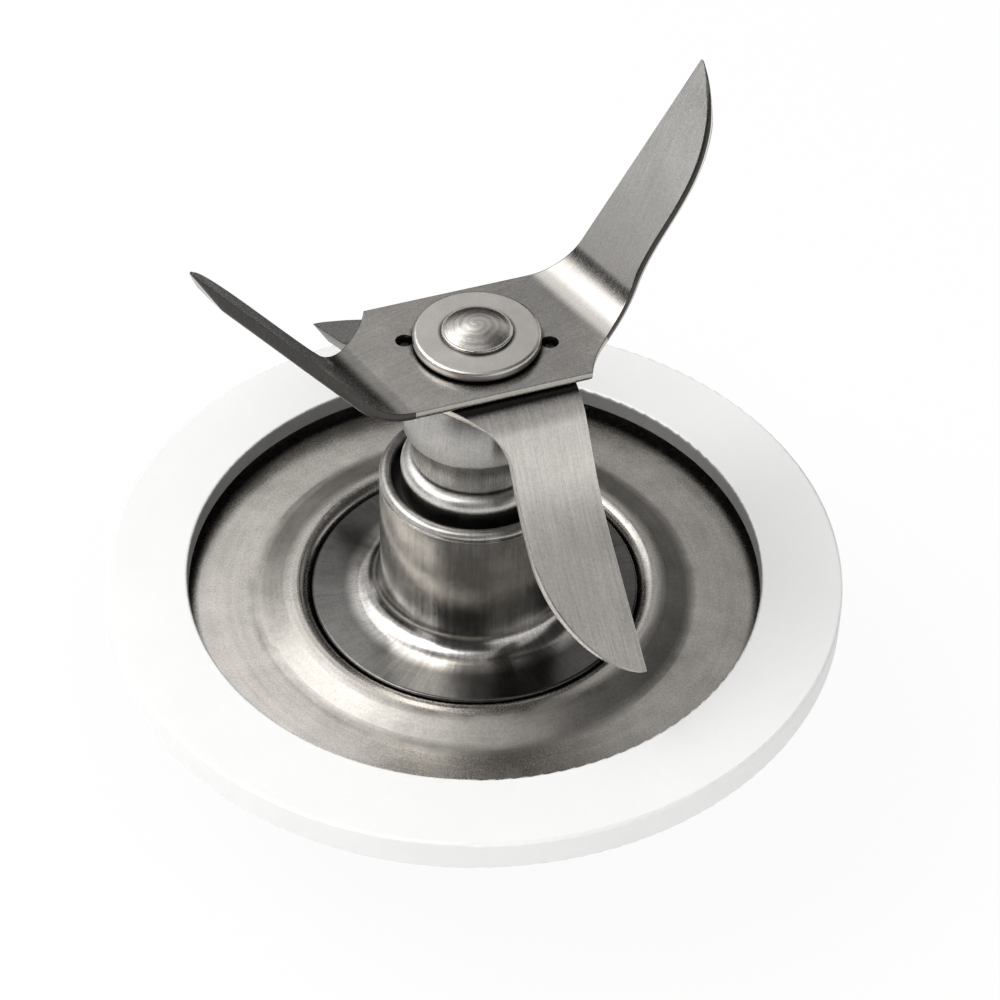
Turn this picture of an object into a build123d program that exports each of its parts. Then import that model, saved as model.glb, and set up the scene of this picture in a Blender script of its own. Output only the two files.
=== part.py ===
"""Blender blade assembly: two bent sheet blades on a short shaft, a bearing housing and a stamped plate.

The frame has its origin on the shaft's axis at the foot of the housing, +Z up, in millimetres.
"""
import os
from math import cos, pi, radians, sin, tan

from build123d import *

# Clearances and edge breaks
running_gap = 0.05
slip_gap = 0.05
axial_gap = 0.1
edge_break = 0.25
same_size = 1e-4

# Sealing ring
ring_od = 60.0
ring_w = 6.6
ring_thk = 2.8
ring_relief_h = 1.2
ring_relief_w = 1.5

# Base plate, stamped from sheet
plate_thk = 0.9
plate_od = 58.0
seat_h = 17.2
lip_rise = 1.0
lip_land = 1.8
lip_slope = 2.4
lip_round = 1.0
lip_sweep = 2.0
pocket_round = 0.4
pocket_gap = 0.2

# Bearing housing, turned
barrel_od = 15.4
barrel_h = 12.6
barrel_fillet = 1.9
flange_od = 26.8
flange_thk = 1.2
flange_rise = 0.6
spigot_od = 18.0
thread_pitch = 1.0
thread_depth = 0.45
thread_flat = 0.1
thread_lead = 0.5
mouth_wall = 1.04
mouth_round_share = 0.46
mouth_depth = 1.8
mouth_groove_h = 0.2
mouth_groove_d = 0.12
mouth_groove_drop = 0.6
bush_bore = 12.4
socket_bore = 14.6

# Fastening under the plate
flange_seal_thk = 0.4
flange_seal_w = 3.4
backing_od = 24.0
backing_thk = 1.0
nut_flats = 24.0
nut_thk = 3.5
nut_sides = 6
nut_corner_slope = 30.0

# Bearings and seal
journal_d = 7.0
upper_bush_len = 5.5
felt_len = 3.5
lower_bush_len = 5.0
thrust_thk = 0.6
thrust_od = 10.4
cup_rise = 1.85
cup_od = 11.94
cup_wall = 0.57
cup_flange_thk = 0.6
cup_round = 1.0
cup_hole_gap = 0.3
seal_len = 2.6
seal_lip_thk = 0.65

# Shaft and drive socket
land_d = 8.4
stem_d = 6.0
tenon_d = 5.0
tenon_flats = 4.0
head_d = 5.5
head_rise = 0.85
head_edge = 0.3
head_step = 0.2
head_round = 0.1
foot_d = 5.8
foot_len = 4.2
socket_od = 13.4
socket_recess = 0.8
socket_flats = 6.4
socket_corner = 0.4

# Sleeve and collar between the cup and the blades
sleeve_od = 10.2
sleeve_h = 3.1
collar_od = 11.6
collar_top_d = 7.6
collar_h = 6.3
collar_rim = 0.35
collar_stations = 5

# Top washer
washer_od = 9.9
washer_thk = 1.0
washer_round = 0.3

# Blades, both cut from the same sheet
blade_thk = 0.9
blade_turn = 21.0
bevel_w = 0.35
bevel_d = 0.3
bevel_shortest = 1.4
pip_radius = 5.55
pip_d = 1.0
pip_rise = 0.45
pip_gap = 0.2

# Upper blade: flat outline along its own length, then the two arms bent up
upper_hub_half = 6.94
upper_hub_w = 12.8
upper_neck = (9.2, -3.3)
upper_waist = (14.5, -0.3)
upper_middle = (21.0, 0.6)
upper_belly = (26.0, 1.8)
upper_end = (29.2, 4.1)
upper_tip = (30.9, 6.87)
upper_edge_ways = ((0.4, 0.9), (0.35, 1.0))
upper_spine_dip = (12.5, 6.0)
upper_skew = 15.2
upper_bend_at = 10.5
upper_bend_r = 3.0
upper_right_up = 65.0
upper_left_up = 52.0

# Lower blade: the two arms bent down, then eased outwards again
lower_spine = 5.9
lower_shoulder = 2.5
lower_root = (3.7, 6.4)
lower_edge = 0.62
lower_edge_from = 11.6
lower_edge_to = 18.6
lower_belly = (-1.4, 25.6)
lower_end = (-4.2, 28.5)
lower_tip_u = 29.1
lower_bend_at = 6.67
lower_bend_r = 4.5
lower_down = 58.0
lower_ease_at = 15.9
lower_ease_r = 10.0
lower_front_ease = 16.3
lower_rear_ease = 30.1
bend_stations = 7

# Heights, from the foot up
ring_top = seat_h + ring_thk
flange_top = seat_h + flange_rise
flange_under = flange_top - flange_thk
pocket_floor = flange_under - flange_seal_thk
plate_under = pocket_floor - plate_thk
backing_under = plate_under - backing_thk
mouth_top = flange_top + barrel_h
mouth_floor = mouth_top - mouth_depth
thrust_top = mouth_floor
upper_bush_top = thrust_top - thrust_thk
upper_bush_foot = upper_bush_top - upper_bush_len
felt_foot = upper_bush_foot - felt_len
lower_bush_foot = felt_foot - lower_bush_len
lower_thrust_top = lower_bush_foot - axial_gap
socket_top = lower_thrust_top - thrust_thk
land_foot = thrust_top + running_gap
cup_top = mouth_top + cup_rise
sleeve_foot = cup_top + 2 * axial_gap
collar_foot = sleeve_foot + sleeve_h
blades_foot = collar_foot + collar_h
blades_top = blades_foot + 2 * blade_thk
washer_top = blades_top + washer_thk

# Diameters and radii shared by pieces that fit each other
ring_id = ring_od - 2 * ring_w
pocket_r = flange_od / 2 + pocket_gap
mouth_r = barrel_od / 2 - mouth_wall


def turned(*outline):
    """Solid of revolution about Z from a closed outline of (radius, height) corners."""
    corners = [(radius, 0, height) for radius, height in outline]
    return revolve(make_face(Polyline(*corners, close=True)), Axis.Z)


def bush(od, bore, foot, top):
    """Plain turned ring between two heights."""
    return turned((bore / 2, foot), (od / 2, foot), (od / 2, top), (bore / 2, top))


def rims(solid, diameter, height):
    """Circular edges of a turned piece at one diameter and height."""
    circles = solid.edges().filter_by(GeomType.CIRCLE)
    return [
        edge for edge in circles
        if abs(2 * edge.radius - diameter) < same_size and abs(edge.arc_center.Z - height) < same_size
    ]


def make_sealing_ring():
    """Flat gasket whose inner lower edge is relieved, so it lies on the outer part of the plate's band."""
    inner, outer = ring_id / 2, ring_od / 2
    relief_r, relief_top = inner + ring_relief_w, seat_h + ring_relief_h
    ring = turned(
        (relief_r, seat_h), (outer, seat_h), (outer, ring_top),
        (inner, ring_top), (inner, relief_top), (relief_r, relief_top),
    )
    edges = rims(ring, ring_od, ring_top) + rims(ring, ring_od, seat_h) + rims(ring, ring_id, ring_top)
    return fillet(edges, edge_break)


def make_base_plate():
    """Sheet pressed into a pocket for the flange, a raised lip round it and a flat band out to the rim."""
    lip_top = seat_h + lip_rise
    lip_out = pocket_r + lip_land
    top_line = FilletPolyline(
        (spigot_od / 2 + slip_gap, 0, pocket_floor), (pocket_r, 0, pocket_floor), (pocket_r, 0, lip_top),
        (lip_out, 0, lip_top), (lip_out + lip_slope, 0, seat_h), (plate_od / 2, 0, seat_h),
        radius=[pocket_round, lip_round, lip_sweep, lip_sweep],
    )
    section = top_line.wire().offset_2d(plate_thk, side=Side.LEFT, closed=True)
    plate = revolve(make_face(section), Axis.Z)
    return fillet(rims(plate, plate_od, seat_h) + rims(plate, plate_od, seat_h - plate_thk), edge_break)


def make_bearing_housing():
    """Barrel with a filleted flange, a rolled mouth, a stepped bore and a threaded spigot that is its foot."""
    barrel_r, spigot_r = barrel_od / 2, spigot_od / 2
    body = turned(
        (socket_bore / 2, 0), (spigot_r, 0), (spigot_r, flange_under), (flange_od / 2, flange_under),
        (flange_od / 2, flange_top), (barrel_r, flange_top), (barrel_r, mouth_top), (mouth_r, mouth_top),
        (mouth_r, mouth_floor), (bush_bore / 2, mouth_floor), (bush_bore / 2, lower_bush_foot),
        (socket_bore / 2, lower_bush_foot),
    )
    body = fillet(rims(body, barrel_od, flange_top), barrel_fillet)
    mouth_rims = rims(body, barrel_od, mouth_top) + rims(body, 2 * mouth_r, mouth_top)
    body = fillet(mouth_rims, mouth_round_share * mouth_wall)
    body = fillet(rims(body, flange_od, flange_top), edge_break)
    body = chamfer(rims(body, spigot_od, 0), thread_lead)
    body = chamfer(rims(body, socket_bore, 0), edge_break)
    groove_top = mouth_top - mouth_groove_drop
    groove = bush(flange_od, barrel_od - 2 * mouth_groove_d, groove_top - mouth_groove_h, groove_top)
    return body - groove - spigot_thread()


def spigot_thread():
    """Groove of the thread: a flat-bottomed V carried up a helix, from below the foot to inside the backing washer."""
    foot, top = -thread_pitch, backing_under + backing_thk / 2
    helix = Helix(thread_pitch, top - foot, spigot_od / 2, center=(0, 0, foot))
    root, mouth, over = thread_flat / 2, (thread_pitch - thread_flat) / 2, thread_flat / 4
    outside = over * thread_depth / (mouth - root)
    section = Polyline(
        (-thread_depth, -root), (outside, -mouth - over), (outside, mouth + over), (-thread_depth, root), close=True,
    )
    plane = Plane(helix @ 0, x_dir=(1, 0, 0), z_dir=helix % 0)
    return sweep(plane * make_face(section), path=helix, is_frenet=True)


def make_flange_seal():
    """Thin ring in the pocket under the outer part of the flange."""
    od = 2 * (pocket_r - pocket_round)
    return bush(od, od - 2 * flange_seal_w, pocket_floor, flange_under)


def make_backing_washer():
    """Plain washer under the plate."""
    washer = bush(backing_od, spigot_od + 2 * slip_gap, backing_under, plate_under)
    return fillet(rims(washer, backing_od, backing_under), edge_break)


def make_clamp_nut():
    """Thin hexagon nut on the spigot, its corners turned off on the lower side."""
    foot = backing_under - nut_thk
    hexagon = RegularPolygon(nut_flats / 2, nut_sides, major_radius=False)
    nut = extrude(Pos(0, 0, foot) * hexagon, nut_thk)
    corner_r = nut_flats / 2 / cos(pi / nut_sides)
    turned_off = (corner_r - nut_flats / 2) * tan(radians(nut_corner_slope))
    cone = turned(
        (0, foot), (nut_flats / 2, foot), (corner_r, foot + turned_off),
        (corner_r, backing_under), (0, backing_under),
    )
    hole = Pos(0, 0, foot + nut_thk / 2) * Cylinder(spigot_od / 2 + slip_gap, nut_thk)
    return (nut & cone) - hole


def make_seal_cup():
    """Cup with a flange in the mouth of the barrel, a straight wall and a rounded top with a hole."""
    wall_r, inner_r = cup_od / 2, cup_od / 2 - cup_wall
    hole_r = land_d / 2 + cup_hole_gap
    flange_y = mouth_floor + cup_flange_thk
    cup = turned(
        (inner_r, mouth_floor), (mouth_r, mouth_floor), (mouth_r, flange_y), (wall_r, flange_y),
        (wall_r, cup_top), (hole_r, cup_top), (hole_r, cup_top - cup_wall), (inner_r, cup_top - cup_wall),
    )
    cup = fillet(rims(cup, cup_od, cup_top), cup_round)
    return fillet(rims(cup, 2 * inner_r, cup_top - cup_wall), cup_round - cup_wall)


def make_shaft_seal():
    """Rubber ring in the cup with a lip that thins towards the shaft."""
    outer, lip = cup_od / 2 - cup_wall, land_d / 2 + running_gap
    foot = mouth_floor
    top = foot + seal_len
    lip_foot = foot + (seal_len - seal_lip_thk) / 2
    return turned(
        (lip, lip_foot), (lip, lip_foot + seal_lip_thk), (outer - cup_wall, top), (outer, top),
        (outer, foot), (outer - cup_wall, foot),
    )


def make_drive_shaft():
    """Stepped shaft: press foot, journal, sealing land, stem, flatted tenon and peened head."""
    round_steps = (
        (foot_d, socket_top - foot_len, socket_top), (journal_d, socket_top, land_foot),
        (land_d, land_foot, sleeve_foot), (stem_d, sleeve_foot, blades_foot),
    )
    shaft = sum((Pos(0, 0, (a + b) / 2) * Cylinder(d / 2, b - a) for d, a, b in round_steps), Part())
    tenon = extrude(Pos(0, 0, blades_foot) * tenon_outline(0), washer_top - blades_foot)
    return shaft + tenon + peened_head()


def peened_head():
    """Low domed head over the washer: a flat rim, then a cap of one sphere a step further in."""
    rim_top = washer_top + head_edge
    rim = bush(head_d, tenon_flats, washer_top, rim_top)
    rim = fillet(rims(rim, head_d, rim_top), head_round)
    dome_r, cap = head_d / 2 - head_step, head_rise - head_edge
    sphere_r = (dome_r ** 2 + cap ** 2) / (2 * cap)
    sphere = Pos(0, 0, washer_top + head_rise - sphere_r) * Sphere(sphere_r)
    dome = (Pos(0, 0, washer_top + head_rise / 2) * Cylinder(dome_r, head_rise)) & sphere
    return rim + dome


def tenon_outline(gap):
    """Round tenon with two flats, or the hole for it with a gap all round."""
    flats = Rectangle(2 * tenon_d, tenon_flats + 2 * gap)
    return Rot(0, 0, blade_turn) * (Circle(tenon_d / 2 + gap) & flats)


def make_drive_socket():
    """Round coupling pressed on the shaft's foot, with a square socket open at the bottom."""
    body = bush(socket_od, foot_d, socket_recess, socket_top)
    body = chamfer(rims(body, socket_od, socket_recess) + rims(body, socket_od, socket_top), edge_break)
    depth = socket_top - foot_len - socket_recess
    square = fillet(Rectangle(socket_flats, socket_flats).vertices(), socket_corner)
    return body - extrude(Pos(0, 0, socket_recess) * square, depth)


def make_dome_collar():
    """Bell-shaped collar: a short rim, then a quarter ellipse up to a flat top that carries the blades."""
    rim_r, top_r, bore_r = collar_od / 2, collar_top_d / 2, stem_d / 2 + slip_gap
    rim_top = collar_foot + collar_rim
    dome_h = collar_h - collar_rim
    full_h = dome_h / (1 - (top_r / rim_r) ** 2) ** 0.5
    rises = [dome_h * step / (collar_stations - 1) for step in range(collar_stations)]
    curve = Spline(*[(rim_r * (1 - (rise / full_h) ** 2) ** 0.5, 0, rim_top + rise) for rise in rises])
    outline = [
        Polyline((rim_r, 0, rim_top), (rim_r, 0, collar_foot), (bore_r, 0, collar_foot),
                 (bore_r, 0, blades_foot), (top_r, 0, blades_foot)),
        curve,
    ]
    collar = revolve(make_face(outline), Axis.Z)
    return fillet(rims(collar, collar_od, collar_foot), edge_break)


def make_top_washer():
    """Thick washer with rounded edges, on the flatted tenon."""
    washer = bush(washer_od, tenon_d + 2 * slip_gap, blades_top, washer_top)
    return fillet(rims(washer, washer_od, washer_top) + rims(washer, washer_od, blades_top), washer_round)


def upper_blank():
    """Flat outline of the upper blade, along X: a curved edge and a straight one, repeated at 180 degrees."""
    half_w = upper_hub_w / 2
    corner = (upper_hub_half, -half_w)
    edge = Spline(
        corner, upper_neck, upper_waist, upper_middle, upper_belly, upper_end, upper_tip,
        tangents=upper_edge_ways,
    )
    spine = Polyline(upper_tip, upper_spine_dip, (-upper_hub_half, half_w))
    return make_face([edge, spine, edge.rotate(Axis.Z, 180), spine.rotate(Axis.Z, 180)])


def lower_blank():
    """Flat outline of the lower blade, arms along Y: a straight spine and a curved edge, turned by 180."""
    tip = (-lower_spine, lower_tip_u)
    flare = Spline(
        (lower_spine, lower_shoulder), lower_root, (lower_edge, lower_edge_from), tangents=((0, 1), (0, 1)),
    )
    straight = Line((lower_edge, lower_edge_from), (lower_edge, lower_edge_to))
    belly = Spline((lower_edge, lower_edge_to), lower_belly, lower_end, tip, tangents=((0, 1), (-1, 0)))
    spine = Line(tip, (-lower_spine, -lower_shoulder))
    half = [flare, straight, belly, spine]
    return make_face(half + [edge.rotate(Axis.Z, 180) for edge in half])


def strip(blank, start, end):
    """Part of a flat blank between two lines across X."""
    width = blank.bounding_box().diagonal
    return blank & (Pos((start + end) / 2, 0) * Rectangle(end - start, 2 * width))


def ground(sheet):
    """Cutting edge: the long curved edges of a flat arm ground to a bevel on the upper face."""
    top = sheet.faces().sort_by(Axis.Z)[-1]
    curved = [edge for edge in top.edges().filter_by(GeomType.BSPLINE) if edge.length > bevel_shortest]
    return chamfer(curved, bevel_d, bevel_w, reference=top) if curved else sheet


def folded_arm(blank, folds, sharpen_from):
    """Arm of a sheet blade along X, bent across X at each fold, with its upper face at Z 0 at the root.

    A fold is (distance to the sharp corner, radius of the upper face, angle up). Flat runs keep the blank's
    outline, and each bend is a loft of rectangles as wide as the blank is there, set round the bend.
    """
    reach = blank.bounding_box().max.X
    pieces = []
    x, z, slope = None, 0.0, 0.0
    for number, (corner, radius, angle) in enumerate(folds):
        setback = radius * tan(radians(abs(angle)) / 2)
        if x is None:
            x = corner - setback
        bend = []
        for step in range(bend_stations):
            share = step / (bend_stations - 1)
            turn = radians(slope + share * angle)
            way = 1 if angle > 0 else -1
            px = x + way * radius * (sin(turn) - sin(radians(slope)))
            pz = z - way * radius * (cos(turn) - cos(radians(slope)))
            across = blank.face().intersect(
                Edge.make_line((corner + (2 * share - 1) * setback, -reach, 0),
                               (corner + (2 * share - 1) * setback, reach, 0)))[0].bounding_box()
            plane = Plane((px, 0, pz), x_dir=(0, 1, 0), z_dir=(cos(turn), 0, sin(turn)))
            bend.append(plane * Pos(across.center().Y, -blade_thk / 2) * Rectangle(across.size.Y, blade_thk))
        pieces.append(loft(bend))
        x, z, slope = px, pz, slope + angle
        start = corner + setback
        if number + 1 < len(folds):
            next_corner, next_radius, next_angle = folds[number + 1]
            end = next_corner - next_radius * tan(radians(abs(next_angle)) / 2)
        else:
            end = 2 * reach
        flat = extrude(Pos(-start, 0, -blade_thk) * strip(blank, start, end), blade_thk)
        if number + 1 == sharpen_from:
            flat = ground(flat)
        plane = Plane((x, 0, z), x_dir=(cos(radians(slope)), 0, sin(radians(slope))),
                      z_dir=(-sin(radians(slope)), 0, cos(radians(slope))))
        pieces.append(plane * flat)
        x += (end - start) * cos(radians(slope))
        z += (end - start) * sin(radians(slope))
    return pieces


def bent_blade(blank, turn_to_arm, arm_folds):
    """Sheet blade: its flat hub and two opposite arms, each with its own folds."""
    pieces = []
    hub = blank
    for side, folds in enumerate(arm_folds):
        turn = Rot(0, 0, turn_to_arm + 180 * side)
        corner, radius, angle = folds[0]
        bend_start = corner - radius * tan(radians(abs(angle)) / 2)
        arm_blank = turn * blank
        pieces += [turn.inverse() * piece for piece in folded_arm(arm_blank, folds, len(folds))]
        hub = hub & (turn.inverse() * strip(arm_blank, -arm_blank.bounding_box().diagonal, bend_start))
    return sum(pieces, extrude(Pos(0, 0, -blade_thk) * hub, blade_thk))


def pips(radius, foot, height):
    """Two upright pins on the X axis, either side of the shaft."""
    pin = Cylinder(radius, height, align=(Align.CENTER, Align.CENTER, Align.MIN))
    return Pos(pip_radius, 0, foot) * pin + Pos(-pip_radius, 0, foot) * pin


def seated(blade, foot):
    """Blade turned to its place in plan, on its seat, with the hole for the tenon."""
    placed = Pos(0, 0, foot + blade_thk) * Rot(0, 0, blade_turn) * blade
    return placed - extrude(Pos(0, 0, foot) * tenon_outline(slip_gap), blade_thk)


def make_upper_blade():
    """Upper blade, arms up, with two holes for the lower blade's pips."""
    folds = [[(upper_bend_at, upper_bend_r, up)] for up in (upper_right_up, upper_left_up)]
    blade = seated(bent_blade(upper_blank(), -upper_skew, folds), blades_foot + blade_thk)
    return blade - pips(pip_d / 2 + pip_gap, blades_foot + blade_thk, blade_thk)


def make_lower_blade():
    """Lower blade, arms down and eased out, with two pips that key the upper blade to it."""
    folds = [
        [(lower_bend_at, lower_bend_r, -lower_down), (lower_ease_at, lower_ease_r, ease)]
        for ease in (lower_front_ease, lower_rear_ease)
    ]
    blade = seated(bent_blade(lower_blank(), 90, folds), blades_foot)
    return blade + pips(pip_d / 2, blades_foot + blade_thk, pip_rise)


def make_nodes():
    """Every piece by the name of its node."""
    bore = journal_d + 2 * running_gap
    return {
        "sealing_ring": make_sealing_ring(),
        "base_plate": make_base_plate(),
        "bearing_housing": make_bearing_housing(),
        "flange_seal": make_flange_seal(),
        "backing_washer": make_backing_washer(),
        "clamp_nut": make_clamp_nut(),
        "upper_bushing": bush(bush_bore, bore, upper_bush_foot, upper_bush_top),
        "felt_oil_ring": bush(bush_bore, bore, felt_foot, upper_bush_foot),
        "lower_bushing": bush(bush_bore, bore, lower_bush_foot, felt_foot),
        "upper_thrust_washer": bush(thrust_od, bore, upper_bush_top, thrust_top),
        "lower_thrust_washer": bush(thrust_od, bore, socket_top, lower_thrust_top),
        "seal_cup": make_seal_cup(),
        "shaft_seal": make_shaft_seal(),
        "drive_shaft": make_drive_shaft(),
        "drive_socket": make_drive_socket(),
        "spacer_sleeve": bush(sleeve_od, stem_d + 2 * slip_gap, sleeve_foot, collar_foot),
        "dome_collar": make_dome_collar(),
        "lower_blade": make_lower_blade(),
        "upper_blade": make_upper_blade(),
        "top_washer": make_top_washer(),
    }


os.makedirs("parts", exist_ok=True)
for node, solid in make_nodes().items():
    export_step(solid, f"parts/{node}.step")
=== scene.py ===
"""Looks of a blender jar's blade assembly: sheet blades, threaded housing, finishes and stage.

Laid out as an add-on and run as a script. The functions that work out shapes use millimetres, and Blender's
objects and properties use metres. The origin is on the shaft's axis at the foot of the housing, Z up.
"""

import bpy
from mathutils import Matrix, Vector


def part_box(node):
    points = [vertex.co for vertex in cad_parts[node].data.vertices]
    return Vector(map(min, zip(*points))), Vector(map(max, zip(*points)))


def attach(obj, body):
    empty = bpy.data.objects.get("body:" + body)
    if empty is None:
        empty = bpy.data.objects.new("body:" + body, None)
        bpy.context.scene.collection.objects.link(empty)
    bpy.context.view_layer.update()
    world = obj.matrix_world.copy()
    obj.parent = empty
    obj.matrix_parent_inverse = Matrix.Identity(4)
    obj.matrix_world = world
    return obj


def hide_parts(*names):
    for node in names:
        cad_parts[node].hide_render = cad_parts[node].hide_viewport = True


bl_info = {
    "name": "Jar Blades",
    "version": (1, 0, 0),
    "blender": (4, 5, 0),
    "location": "View3D > Sidebar > Jar Blades",
    "description": "Sheet blades, threaded housing, finishes and stage of a jar's blade assembly",
    "category": "Object",
}

import bmesh
import bpy
import numpy as np
from bpy.props import FloatProperty, FloatVectorProperty, PointerProperty
from mathutils import Matrix

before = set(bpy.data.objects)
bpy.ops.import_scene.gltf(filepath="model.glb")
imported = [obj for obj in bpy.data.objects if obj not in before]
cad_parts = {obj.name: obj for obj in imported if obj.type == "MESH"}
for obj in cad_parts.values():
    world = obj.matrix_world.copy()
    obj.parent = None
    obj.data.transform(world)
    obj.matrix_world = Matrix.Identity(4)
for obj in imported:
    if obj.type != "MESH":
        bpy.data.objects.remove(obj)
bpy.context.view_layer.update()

MM = 0.001

# Both blades are given in the plane of the flat sheet, along the arm and across it, for the arm that the
# camera sees at the right or at the front. The other arm is the same outline turned by 180 degrees. The hole over
# the shaft's tenon is a circle between two flats, and LOWER_COVER is how far the upper blade covers the lower one.
TENON_TURN = 21.0
TENON_RADIUS, TENON_FLAT = 2.55, 2.05
PIP_PLACES = ((5.55, 0.0), (-5.55, 0.0))
PIP_HOLE = 0.7

UPPER_SKEW = 15.2
UPPER_PLAN = UPPER_SKEW + TENON_TURN
UPPER_EDGE = ((6.94, -6.4), (9.2, -3.3), (14.5, -0.3), (21.0, 0.6), (26.0, 1.8), (29.2, 4.1), (30.9, 6.87))
UPPER_EDGE_WAYS = ((0.4, 0.9), (0.35, 1.0))
UPPER_SPINE = ((-6.94, 6.4), (12.5, 6.0), (30.9, 6.87))

LOWER_PLAN = TENON_TURN - 90.0
LOWER_FLARE = ((2.5, -5.9), (6.4, -3.7), (11.6, -0.62))
LOWER_BELLY = ((18.6, -0.62), (25.6, 1.4), (28.5, 4.2), (29.1, 5.9))
LOWER_SPINE = ((-2.5, 5.9), (29.1, 5.9))
LOWER_COVER = 6.3
ALONG, ACROSS = (1.0, 0.0), (0.0, 1.0)

# Flags and light boxes that metal reflects, by the direction they stand in: azimuth from the back to the right,
# elevation, width and height in degrees, distance in millimetres, brightness, and the share of soft edge.
FLAGS = (
    ("back_flag", 5, 4, 130, 50, 150, 0.0, 0.25),
    ("left_flag", -92, 13, 80, 30, 1500, 0.0, 0.3),
    ("right_flag", 72, 45, 70, 74, 300, 0.04, 0.25),
    ("front_flag", 193, 28, 70, 70, 300, 0.04, 0.25),
    ("front_low_flag", 192, 0, 84, 26, 280, 0.03, 0.25),
    ("left_box", -112, 52, 66, 36, 330, 5.0, 0.2),
    ("upper_left_box", -66, 50, 60, 36, 340, 3.6, 0.4),
    ("back_box", -21, 50, 32, 26, 350, 2.3, 0.45),
    ("top_box", 222, 58, 70, 36, 360, 2.2, 0.45),
)
FLAG_MIDDLE = (0.0, 0.0, 40.0)

# Darkest and brightest shade of a blade's steel, of other steel and of the sealing ring's inner wall, which is painted
# shade.
BLADE_SHADES, STEEL_SHADES, WALL_SHADES = (0.66, 1.34), (0.55, 1.45), (0.18, 0.34)

# Width over which painted shade on a blade gives way, and the radii between which the painted shadow round the rivet's
# head does so on the washer.
SHADE_FADE, HEAD_SHADOW = 0.45, (2.75, 3.1)

# Radii between which the darker, rougher slope round the plate's lip starts and ends, and its shade.
SLOPE_IN, SLOPE_OUT, SLOPE_SHADE = (14.9, 15.7), (17.6, 18.8), 0.8

# Roughness of turned steel that is left unpolished.
SATIN_ROUGHNESS = 0.4

# Radius of the sealing ring's inner wall.
RING_INSIDE = 23.4

# Width at which an arm's outline ends, the length over which its tip is ground thinner, and the share of the
# sheet's thickness that is left there.
TIP_WIDTH, TIP_LENGTH, TIP_LEFT = 0.1, 4.0, 0.12

# Painted shade of the upper blade's hub, and the distances from its middle between which it gives way to the arms'.
HUB_SHADE, HUB_FADE = 0.48, (9.5, 24.0)

# Columns of a blade's section after which a face is sheared, and how many of them are on a ground cutting edge
# and on a plain edge. EDGE_SUPPORT is the distance to the column that holds the flat faces flat.
SHEARED_COLUMNS = np.arange(1, 7)
SHEARED_ON_CUTTING, SHEARED_ON_PLAIN = 3, 6
EDGE_SUPPORT = 0.05

# Length over which the ground bevel sets in, how far before the first bend's corner the hub's edges end, and the
# share of an arm's width that one edge may take.
BEVEL_RUN, HUB_END, EDGE_SHARE = 1.5, 2.0, 0.3

# Thickness of the housing's flange, and the groove under its mouth: distance from the top, width and depth.
FLANGE_THICKNESS = 1.2
GROOVE_FROM_TOP, GROOVE_WIDTH, GROOVE_DEPTH = 0.6, 0.2, 0.12

# Points along an outline's curve, across the hub, through a bend, round a rolled corner and round the axis.
CURVE_STEPS, HUB_STEPS, FOLD_STEPS, ROLL_STEPS, TURN_STEPS = 120, 24, 33, 5, 224


def millimetres(node):
    """Lowest and highest corner of a CAD piece, in millimetres."""
    low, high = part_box(node)
    return np.array(low) / MM, np.array(high) / MM


blades_foot = millimetres("dome_collar")[1][2]
blades_top = millimetres("top_washer")[0][2]
sheet_thickness = (blades_top - blades_foot) / 2


def length_property(name, description, millimetre_default):
    return FloatProperty(
        name=name, description=description, default=millimetre_default * MM, unit="LENGTH", precision=5)


def angle_property(name, description, degrees):
    return FloatProperty(name=name, description=description, default=np.radians(degrees), unit="ROTATION")


def colour_property(name, description, default):
    return FloatVectorProperty(name=name, description=description, default=default, subtype="COLOR")


class JarBladeSheet(bpy.types.PropertyGroup):
    """Sizes of the two sheet blades."""

    edge_round: length_property("Edge round", "Rounding along the edges of the sheet", 0.06)
    upper_roll: length_property(
        "Upper blade roll", "Rounding of the upper blade's lower corners, rolled over by the press", 0.5)
    lower_roll: length_property("Lower blade roll", "Rounding of the lower blade's lower corners", 0.25)
    bevel_width: length_property("Bevel width", "Width of the ground cutting edge on the upper face", 0.18)
    bevel_depth: length_property("Bevel depth", "Depth of the ground cutting edge", 0.2)
    upper_fold_at: length_property(
        "Upper fold", "Distance from the shaft to the corner of the upper blade's bends", 10.5)
    upper_fold_radius: length_property(
        "Upper fold radius", "Radius of the upper face in the upper blade's bends", 4.2)
    upper_right_up: angle_property("Right arm up", "Angle of the upper blade's right arm above level", 65.0)
    upper_left_up: angle_property("Left arm up", "Angle of the upper blade's left arm above level", 52.0)
    lower_fold_at: length_property(
        "Lower fold", "Distance from the shaft to the corner of the lower blade's bends", 6.67)
    lower_fold_radius: length_property(
        "Lower fold radius", "Radius of the upper face in the lower blade's bends", 4.5)
    lower_down: angle_property("Arms down", "Angle of the lower blade's arms below level after the bend", 58.0)
    lower_ease_at: length_property("Easing", "Distance along the arm to the corner of the second, gentle bend", 15.9)
    lower_ease_radius: length_property("Easing radius", "Radius of the second, gentle bend", 20.0)
    lower_front_ease: angle_property("Front arm easing", "Angle by which the front arm turns out again", 16.3)
    lower_rear_ease: angle_property("Rear arm easing", "Angle by which the rear arm turns out again", 30.1)


class JarBladeHousing(bpy.types.PropertyGroup):
    """Sizes of the turned housing that its box doesn't give."""

    barrel_radius: length_property("Barrel radius", "Outer radius of the barrel", 7.7)
    foot_fillet: length_property("Foot fillet", "Radius between the barrel and the flange", 1.9)
    spigot_radius: length_property("Spigot radius", "Radius over the crests of the thread", 9.0)
    socket_bore: length_property("Socket bore", "Radius of the bore round the drive socket", 7.3)
    thread_pitch: length_property("Thread pitch", "Rise of the thread in one turn", 1.0)
    thread_depth: length_property("Thread depth", "Depth of the thread", 0.45)
    thread_lead: length_property("Thread lead", "Chamfer at the foot that leads the nut on", 0.5)


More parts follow.
